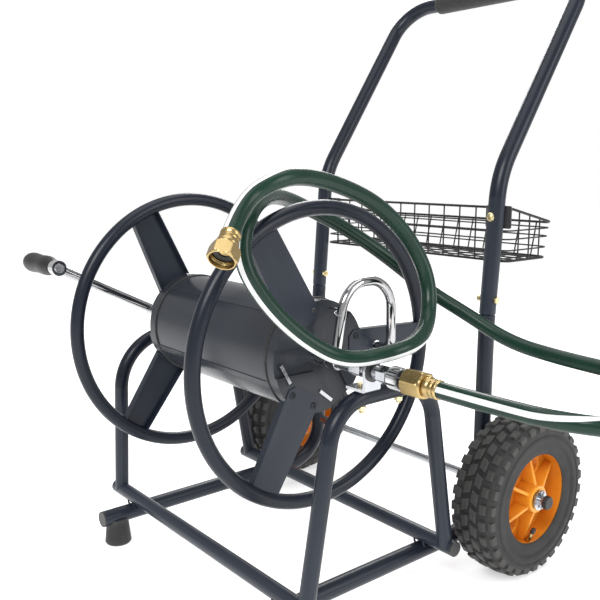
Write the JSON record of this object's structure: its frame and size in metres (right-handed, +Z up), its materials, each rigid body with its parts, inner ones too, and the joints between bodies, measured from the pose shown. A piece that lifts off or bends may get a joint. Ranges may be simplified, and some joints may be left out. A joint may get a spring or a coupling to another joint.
{
  "type": "garden hose reel cart",
  "caption": "Wheeled steel hose reel cart: hand-cranked drum on two arches, wire basket, push handle and a short leader hose on a swivel inlet.",
  "frame": {"origin": "on the ground, under the centre of the cart's box without the leader hose", "axes": "+X to the water inlet side, -X to the crank, +Y back to the push handle, +Z up"},
  "size_m": [0.997, 0.7773, 0.919],
  "materials": {
    "frame_paint": "dark blue-grey powder coat, fine texture",
    "drum_paint": "dark grey powder-coated sheet",
    "black_plastic": "moulded black plastic",
    "black_rubber": "soft black rubber",
    "tyre_rubber": "black pneumatic tyre rubber with blocks",
    "orange_hub": "orange moulded rim",
    "bush_plastic": "black nylon bush",
    "black_wire": "black coated steel wire",
    "zinc": "bright zinc plating",
    "yellow_zinc": "yellow zinc passivate",
    "chrome": "polished chrome plate",
    "brass": "machined brass",
    "hose_green": "dark green PVC hose with a white stripe"
  },
  "bodies": {
    "root": {"axle": "zinc", "axle_caps": "black_plastic", "axle_spacers": "zinc", "basket_plates": "black_wire", "cotter_pins": "zinc", "coupling_washers": "black_rubber", "crank_side_arch": "frame_paint", "crank_side_bracket": "zinc", "crank_side_rail": "frame_paint", "frame_bolts": "yellow_zinc", "frame_nuts": "yellow_zinc", "free_coupling_ferrule": "brass", "free_coupling_nut": "brass", "front_cross_tube": "frame_paint", "front_feet": "black_rubber", "handle_grip": "black_rubber", "handle_hoop": "frame_paint", "inlet_coupling_ferrule": "brass", "inlet_coupling_nut": "brass", "inlet_side_arch": "frame_paint", "inlet_side_bracket": "zinc", "inlet_side_rail": "frame_paint", "leader_hose": "hose_green", "rear_cross_tube": "frame_paint", "reel_bushes": "bush_plastic", "swivel_body": "chrome", "swivel_seal": "black_rubber", "tube_plugs": "black_plastic", "wire_basket": "black_wire"},
    "reel": {"inlet_side_rim": "frame_paint", "crank_side_rim": "frame_paint", "inlet_side_spoke_1": "frame_paint", "inlet_side_spoke_2": "frame_paint", "inlet_side_spoke_3": "frame_paint", "crank_side_spoke_1": "frame_paint", "crank_side_spoke_2": "frame_paint", "crank_side_spoke_3": "frame_paint", "drum_shell": "drum_paint", "inlet_side_end_disc": "drum_paint", "crank_side_end_disc": "drum_paint", "drum_beads": "black_plastic", "drum_lock_tabs": "zinc", "spoke_screws": "zinc", "reel_shaft": "zinc", "inlet_pipe": "zinc", "gooseneck_elbow": "chrome", "gooseneck": "chrome", "outlet_nipple": "brass", "gooseneck_clip": "zinc", "shaft_nuts": "zinc", "crank_arm": "chrome", "grip_pin": "zinc"},
    "crank_grip": {"crank_grip": "black_plastic"},
    "inlet_side_wheel": {"inlet_side_tyre": "tyre_rubber", "inlet_side_hub": "orange_hub", "inlet_side_hub_bush": "bush_plastic"},
    "crank_side_wheel": {"crank_side_tyre": "tyre_rubber", "crank_side_hub": "orange_hub", "crank_side_hub_bush": "bush_plastic"}
  },
  "joints": [
    {"name": "reel_spin", "type": "hinge", "parent": "root", "child": "reel", "pos_m": [0.031, -0.1705, 0.357], "axis": [1, 0, 0], "continuous": true},
    {"name": "crank_grip_spin", "type": "hinge", "parent": "reel", "child": "crank_grip", "pos_m": [-0.309, -0.34425, 0.44553], "axis": [1, 0, 0], "continuous": true},
    {"name": "inlet_side_wheel_spin", "type": "hinge", "parent": "root", "child": "inlet_side_wheel", "pos_m": [0.2965, 0.1345, 0.12], "axis": [1, 0, 0], "continuous": true},
    {"name": "crank_side_wheel_spin", "type": "hinge", "parent": "root", "child": "crank_side_wheel", "pos_m": [-0.2345, 0.1345, 0.12], "axis": [1, 0, 0], "continuous": true}
  ]
}
